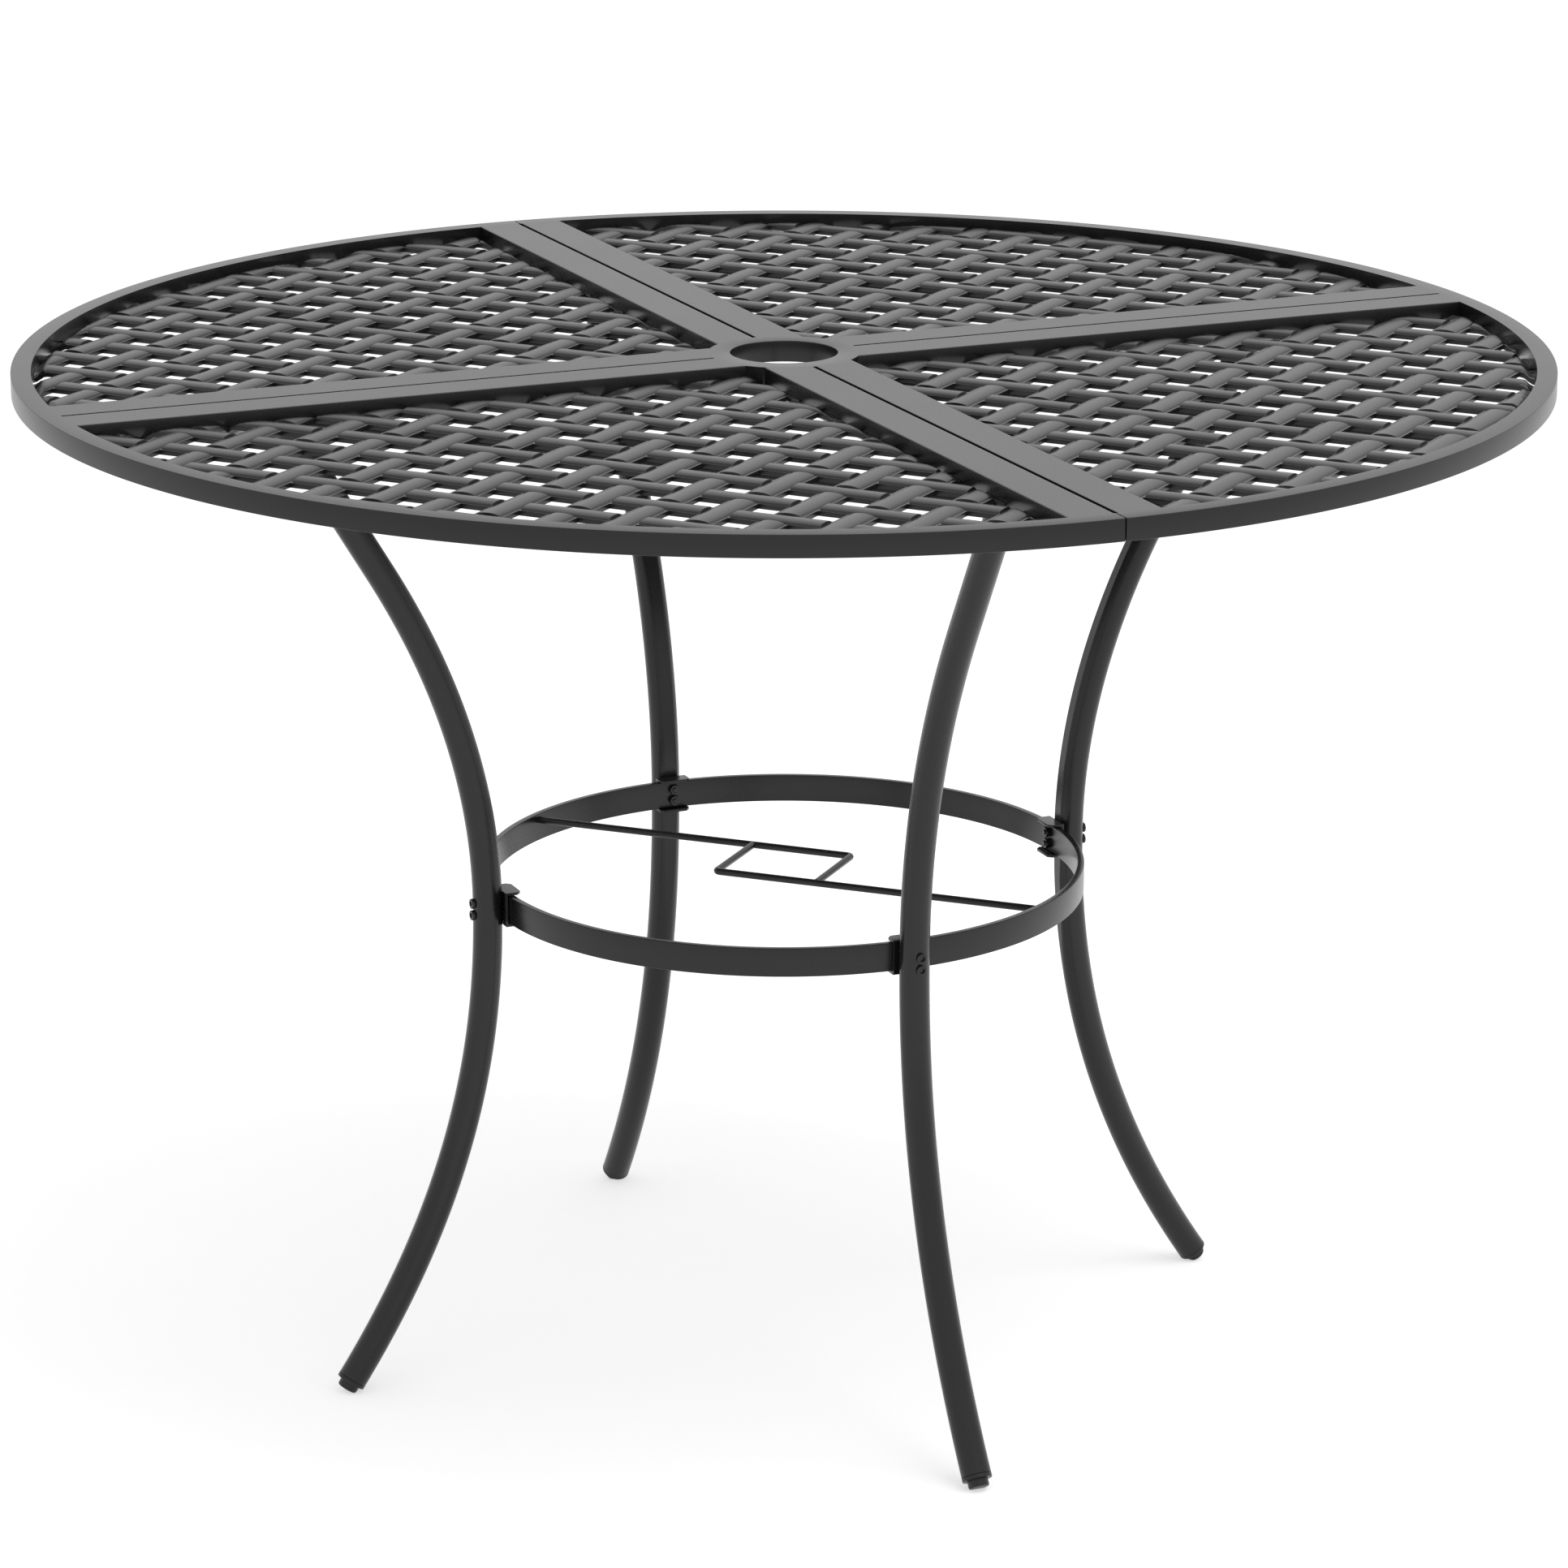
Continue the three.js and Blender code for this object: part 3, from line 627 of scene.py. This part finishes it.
def leg_tube():
    sides, flat_sides, stations_count = 48, 10, 150
    flat_share = math.pi * flat_sides / sides
    narrowest = math.radians(12)
    top = UNDERSIDE_Z - FIT_GAP - PLATE_THICKNESS
    level_length, weld_length, weld_width = 12 * MM, 4 * MM, 1.6 * MM
    stations = [LEG_END_Z + (top - LEG_END_Z) * k / stations_count
                for k in range(stations_count + 1)]

    def place(z, angle):
        distance, slope = leg_line(z)
        lean = math.hypot(1, slope)
        limit = flat_limit(z, distance, lean)
        # The first few sides keep to the flat, whatever its width
        flat_angle = max(math.acos(min(limit / LEG_RADIUS, 1)), narrowest)
        from_inside = abs(abs(angle) - math.pi)
        if from_inside <= flat_share:
            turn = flat_angle * from_inside / flat_share
        else:
            round_share = (from_inside - flat_share) / (math.pi - flat_share)
            turn = flat_angle + (math.pi - flat_angle) * round_share
        radius = LEG_RADIUS + weld_width * max(1 - (top - z) / weld_length, 0) ** 2
        out = max(-radius * math.cos(turn), -limit - radius + LEG_RADIUS)
        side = math.copysign(radius * math.sin(turn), angle)
        normal = Vector((1, 0, -slope)) / lean
        if z > top - level_length:
            # The top is cut level against its plate
            normal = normal.lerp(Vector((lean, 0, 0)), (z - top + level_length) / level_length)
        return Vector((distance, 0, z)) + normal * out + Vector((0, side, 0))

    return swept(sides, stations, place)


def top_plate():
    bm = bmesh.new()
    bmesh.ops.create_grid(bm, x_segments=1, y_segments=1, size=0.5)
    bmesh.ops.scale(bm, vec=(2 * PLATE_HALF_LENGTH, 2 * PLATE_HALF_WIDTH, 1), verts=bm.verts)
    bmesh.ops.bevel(bm, geom=bm.verts[:], offset=PLATE_CORNER, offset_type="OFFSET", segments=5,
                    profile=0.5, affect="VERTICES", material=-1)
    extrude_all(bm, (0, 0, PLATE_THICKNESS))
    low = UNDERSIDE_Z - FIT_GAP - PLATE_THICKNESS
    bmesh.ops.translate(bm, verts=bm.verts, vec=(LEG_TOP, 0, low))
    level = [e for e in bm.edges if abs(e.verts[0].co.z - e.verts[1].co.z) < ON_CUT]
    round_edges(bm, level, PLATE_EDGE, 2)
    return bm


def leg(number, turn):
    bm = leg_tube()
    join_into(bm, top_plate())
    bmesh.ops.transform(bm, matrix=turn, verts=bm.verts)
    finish_piece(bm, f"leg_tube_{number}", FRAME_COAT, "powder_coat", f"leg_{number}")


def glide(number, turn):
    """A plug with a spigot in the tube, a collar as wide as the tube and a nub that stands."""
    steps = 5
    profile = [(0, -GLIDE_LENGTH), (NUB_RADIUS - NUB_ROUNDING, -GLIDE_LENGTH)]
    for k in range(1, steps + 1):
        angle = math.pi / 2 * k / steps
        profile.append((NUB_RADIUS - NUB_ROUNDING * (1 - math.sin(angle)),
                        -GLIDE_LENGTH + NUB_ROUNDING * (1 - math.cos(angle))))
    lip, gap = 0.3 * MM, 0.2 * MM
    profile += [(NUB_RADIUS, -GLIDE_COLLAR), (LEG_RADIUS - lip, -GLIDE_COLLAR),
                (LEG_RADIUS, -GLIDE_COLLAR + lip), (LEG_RADIUS, -2 * gap),
                (LEG_RADIUS - gap, -gap), (SPIGOT_RADIUS, -gap),
                (SPIGOT_RADIUS, SPIGOT_LENGTH), (0, SPIGOT_LENGTH)]
    bm = turned(profile, 40)
    lean = Matrix.Rotation(-foot_tilt(LEG_END_Z), 4, "Y")
    matrix = turn @ Matrix.Translation((LEG_FOOT, 0, LEG_END_Z)) @ lean
    bmesh.ops.transform(bm, matrix=matrix, verts=bm.verts)
    # Flat where it stands on the floor
    cut_off(bm, (0, 0, 0), (0, 0, -1))
    finish_piece(bm, f"glide_plug_{number}", GLIDE_PLASTIC, "glide_plastic", f"glide_{number}")


# ------------------------------------------------- ring, clamps and their bolts

ring = section((RING_RADIUS - RING_THICKNESS / 2, 0, RING_Z), RING_THICKNESS, RING_HEIGHT,
               [RING_EDGE] * 4)
spin_round(ring, 2 * math.pi, ROUND_STEPS)
finish_piece(ring, "flat_ring", FRAME_COAT, "powder_coat", "stretcher_ring")


def clamp(number, turn):
    """A bent sheet: web between ring and leg, a flange over and one under the ring."""
    inner = CLAMP_OUTER - CLAMP_DEPTH
    low = RING_Z - RING_HEIGHT / 2 - FIT_GAP
    high = RING_Z + RING_HEIGHT / 2 + FIT_GAP
    bm = bmesh.new()
    line = [(inner, low - CLAMP_SHEET), (CLAMP_OUTER, low - CLAMP_SHEET),
            (CLAMP_OUTER, high + CLAMP_SHEET), (inner, high + CLAMP_SHEET), (inner, high),
            (CLAMP_OUTER - CLAMP_SHEET, high), (CLAMP_OUTER - CLAMP_SHEET, low), (inner, low)]
    bm.faces.new([bm.verts.new((x, -CLAMP_HALF, z)) for x, z in line])
    extrude_all(bm, (0, 2 * CLAMP_HALF, 0))
    bends = [e for e in bm.edges if all(abs(v.co.x - CLAMP_OUTER) < ON_CUT for v in e.verts)
             and abs(e.verts[0].co.y - e.verts[1].co.y) > CLAMP_HALF]
    round_edges(bm, bends, CLAMP_BEND, 4)
    for side in (-1, 1):
        cut_off(bm, (inner + CLAMP_CORNER, side * CLAMP_HALF, 0), (-1, side, 0))
    round_edges(bm, sharp_edges(bm, 30), CLAMP_EDGE, 1)
    bmesh.ops.transform(bm, matrix=turn, verts=bm.verts)
    finish_piece(bm, f"clamp_channel_{number}", FRAME_COAT, "powder_coat", f"clamp_{number}")


def hexagon_radius(angle, across_flats):
    """How far a hexagon's side is from its middle, in a direction."""
    step = math.pi / 3
    return across_flats / 2 / math.cos((angle + step / 2) % step - step / 2)


def socket_screw(shank, length, head_radius, head_height, socket, edge):
    """A screw along Z: low round head on +Z with a six-sided socket, shank along -Z."""
    steps = 4
    tip = 0.4 * MM
    profile = [(0, -length), (shank - tip, -length), (shank, tip - length), (shank, 0),
               (head_radius, 0)]
    for k in range(steps + 1):
        angle = math.pi / 2 * k / steps
        profile.append((head_radius - edge * (1 - math.cos(angle)),
                        head_height - edge * (1 - math.sin(angle))))
    floor = 0.35 * head_height
    profile += [(socket / 2, head_height), (socket / 2, floor), (0, floor)]
    bm = turned(profile, 24)
    for vertex in bm.verts:
        if vertex.co.z > 0.9 * floor and 0 < vertex.co.xy.length < 0.51 * socket:
            angle = math.atan2(vertex.co.y, vertex.co.x)
            vertex.co.xy = vertex.co.xy * (hexagon_radius(angle, socket) / (socket / 2))
    return bm


def hexagon_nut(width, height, bore):
    """A nut along Z, its corners turned down at both ends."""
    corner = width / 2 / math.cos(math.pi / 6)
    rings = [(bore, 0), (width / 2, 0), (corner, NUT_CHAMFER), (corner, height - NUT_CHAMFER),
             (width / 2, height), (bore, height)]
    bm = bmesh.new()
    points = [bm.verts.new((r, 0, z)) for r, z in rings]
    for a, b in zip(points, points[1:] + points[:1]):
        bm.edges.new((a, b))
    spin_profile(bm, 48)
    for vertex in bm.verts:
        radius = vertex.co.xy.length
        if radius > bore * 1.01:
            flat = hexagon_radius(math.atan2(vertex.co.y, vertex.co.x), width)
            vertex.co.xy = vertex.co.xy * (min(flat, radius) / radius)
    return bm


def clamp_bolts(number, turn):
    """Two bolts through leg, clamp and ring, with their heads outside and their nuts inside."""
    nut_back = RING_RADIUS - RING_THICKNESS - NUT_HEIGHT
    length = BOLT_SEAT - nut_back + BOLT_TAIL
    outward = Matrix.Rotation(math.pi / 2, 4, "Y")
    for side, word in ((-1, "lower"), (1, "upper")):
        z = RING_Z + side * BOLT_SPACING / 2
        bolt = socket_screw(shank=2 * MM, length=length, head_radius=3.6 * MM, head_height=2 * MM,
                            socket=3.8 * MM, edge=0.3 * MM)
        place = Matrix.Translation((BOLT_SEAT, 0, z)) @ outward
        bmesh.ops.transform(bolt, matrix=turn @ place, verts=bolt.verts)
        finish_piece(bolt, f"clamp_bolt_{word}_{number}", BLACK_STEEL, "fastener_steel",
                     f"clamp_bolt_{number}_{word}", sharp=30)
        nut = hexagon_nut(NUT_WIDTH, NUT_HEIGHT, NUT_BORE)
        place = Matrix.Translation((nut_back, 0, z)) @ outward
        bmesh.ops.transform(nut, matrix=turn @ place, verts=nut.verts)
        finish_piece(nut, f"clamp_nut_{word}_{number}", BLACK_STEEL, "fastener_steel",
                     f"clamp_nut_{number}_{word}", sharp=20)


def top_screws(number, turn):
    """Two screws up through a leg's plate, one into each bar of the pair."""
    seat = UNDERSIDE_Z - PLATE_THICKNESS - 2 * FIT_GAP
    upwards = Matrix.Rotation(math.pi, 4, "X")
    for side, word in ((-1, "right"), (1, "left")):
        screw = socket_screw(shank=2.5 * MM, length=9 * MM, head_radius=4.75 * MM,
                             head_height=2.7 * MM, socket=3 * MM, edge=1.5 * MM)
        place = Matrix.Translation((LEG_TOP, side * BAR_MIDDLE, seat)) @ upwards
        bmesh.ops.transform(screw, matrix=turn @ place, verts=screw.verts)
        finish_piece(screw, f"top_screw_{word}_{number}", BLACK_STEEL, "fastener_steel",
                     f"top_screw_{number}_{word}")


for number, turn in enumerate(quarter_turns(), 1):
    leg(number, turn)
    glide(number, turn)
    clamp(number, turn)
    clamp_bolts(number, turn)
    top_screws(number, turn)


# ---------------------------------------------------------------- pole rods

def pole_rod(name, node_name, turn):
    """A rod bent to an L, welded to the ring at its long end, to the other rod at its short one."""
    a, b = SQUARE_LENGTH / 2, SQUARE_WIDTH / 2
    into_weld = 1 * MM
    start = -math.sqrt((RING_RADIUS - RING_THICKNESS) ** 2 - b ** 2) - into_weld
    stop = -b + ROD_RADIUS - into_weld
    points = [((start + (a - ROD_BEND - start) * k / 8, b), (1, 0)) for k in range(9)]
    for k in range(1, 8):
        angle = math.pi / 2 * k / 8
        sine, cosine = math.sin(angle), math.cos(angle)
        points.append(((a - ROD_BEND + ROD_BEND * sine, b - ROD_BEND + ROD_BEND * cosine),
                       (cosine, -sine)))
    points += [((a, b - ROD_BEND + (stop - b + ROD_BEND) * k / 4), (0, -1)) for k in range(5)]

    def place(k, angle):
        (x, y), (dx, dy) = points[k]
        around = Vector((-dy, dx, 0)) * math.cos(angle) + Vector((0, 0, math.sin(angle)))
        return Vector((x, y, ROD_Z)) + ROD_RADIUS * around

    bm = swept(24, list(range(len(points))), place)
    turn_flat(bm, turn)
    finish_piece(bm, name, FRAME_COAT, "powder_coat", node_name)


pole_rod("pole_guide_rod_1", "pole_rod_1", -math.pi / 4)
pole_rod("pole_guide_rod_2", "pole_rod_2", 3 * math.pi / 4)


# ----------------------------------------------------- floor, lights, camera

FLOOR_REACH = 40
# What camera and reflections see besides the lamps' light, so that the floor stays pale
FLOOR_GLOW = 0.56
# The world's plain light on the table; camera and reflections see it at 1
WORLD_LIGHT = 0.55

# The camera of the picture that the table is matched to: a lens in pixels of its width
CAMERA_AZIMUTH = math.radians(23.17)
CAMERA_PITCH = 0.28351
CAMERA_DISTANCE = 3.93617
CAMERA_HEIGHT = TOP_Z + 0.83396
FOCAL_PIXELS = 7113.05
PICTURE_WIDTH = 1932
SENSOR_WIDTH = 36

def studio_floor():
    mesh = bpy.data.meshes.new("floor")
    bm = bmesh.new()
    bmesh.ops.create_grid(bm, x_segments=1, y_segments=1, size=FLOOR_REACH)
    bm.to_mesh(mesh)
    bm.free()
    floor = bpy.data.objects.new("floor", mesh)
    bpy.context.scene.collection.objects.link(floor)
    material = bpy.data.materials.new("pale floor")
    material.use_nodes = True
    tree = material.node_tree
    tree.nodes.remove(tree.nodes["Principled BSDF"])
    out = tree.nodes["Material Output"]
    matt = node(tree, "ShaderNodeBsdfDiffuse", -300, 0)
    matt.inputs["Color"].default_value = (0.8, 0.8, 0.8, 1)
    glow = node(tree, "ShaderNodeEmission", -300, -200)
    rays = node(tree, "ShaderNodeLightPath", -700, -200)
    seen = node(tree, "ShaderNodeMath", -500, -200, operation="MAXIMUM")
    level = node(tree, "ShaderNodeMath", -400, -350, operation="MULTIPLY")
    level.inputs[1].default_value = FLOOR_GLOW
    add = node(tree, "ShaderNodeAddShader", -80, 0)
    link = tree.links.new
    link(rays.outputs["Is Camera Ray"], seen.inputs[0])
    link(rays.outputs["Is Glossy Ray"], seen.inputs[1])
    link(seen.outputs[0], level.inputs[0])
    link(level.outputs[0], glow.inputs["Strength"])
    link(matt.outputs[0], add.inputs[0])
    link(glow.outputs[0], add.inputs[1])
    link(add.outputs[0], out.inputs["Surface"])
    mesh.materials.append(material)


def studio_world():
    world = bpy.data.worlds.new("studio")
    bpy.context.scene.world = world
    world.use_nodes = True
    tree = world.node_tree
    back = tree.nodes["Background"]
    rays = node(tree, "ShaderNodeLightPath", -700, 0)
    seen = node(tree, "ShaderNodeMath", -500, 0, operation="MAXIMUM")
    level = node(tree, "ShaderNodeMapRange", -300, 0)
    level.inputs["To Min"].default_value = WORLD_LIGHT
    level.inputs["To Max"].default_value = 1.0
    link = tree.links.new
    link(rays.outputs["Is Camera Ray"], seen.inputs[0])
    link(rays.outputs["Is Glossy Ray"], seen.inputs[1])
    link(seen.outputs[0], level.inputs["Value"])
    link(level.outputs[0], back.inputs["Strength"])
    back.inputs["Color"].default_value = (1, 1, 1, 1)


def soft_lamp(name, place, aim, size, power):
    lamp = bpy.data.lights.new(name, "AREA")
    lamp.shape = "SQUARE"
    lamp.size = size
    lamp.energy = power
    holder = bpy.data.objects.new(name, lamp)
    holder.location = place
    towards = Vector(aim) - Vector(place)
    holder.rotation_euler = towards.to_track_quat("-Z", "Y").to_euler()
    bpy.context.scene.collection.objects.link(holder)


def studio_camera():
    data = bpy.data.cameras.new("camera")
    data.sensor_width = SENSOR_WIDTH
    data.lens = FOCAL_PIXELS / PICTURE_WIDTH * SENSOR_WIDTH
    data.clip_start, data.clip_end = 0.05, 200
    camera = bpy.data.objects.new("camera", data)
    camera.location = (-CAMERA_DISTANCE * math.sin(CAMERA_AZIMUTH),
                       -CAMERA_DISTANCE * math.cos(CAMERA_AZIMUTH), CAMERA_HEIGHT)
    camera.rotation_euler = (math.pi / 2 - CAMERA_PITCH, 0, -CAMERA_AZIMUTH)
    bpy.context.scene.collection.objects.link(camera)
    bpy.context.scene.camera = camera


studio_floor()
studio_world()
soft_lamp("overhead_softbox", (0.6, -0.8, 3.2), (0, 0, 0.6), 2.4, 60)
studio_camera()
bpy.context.scene.view_settings.view_transform = "Standard"
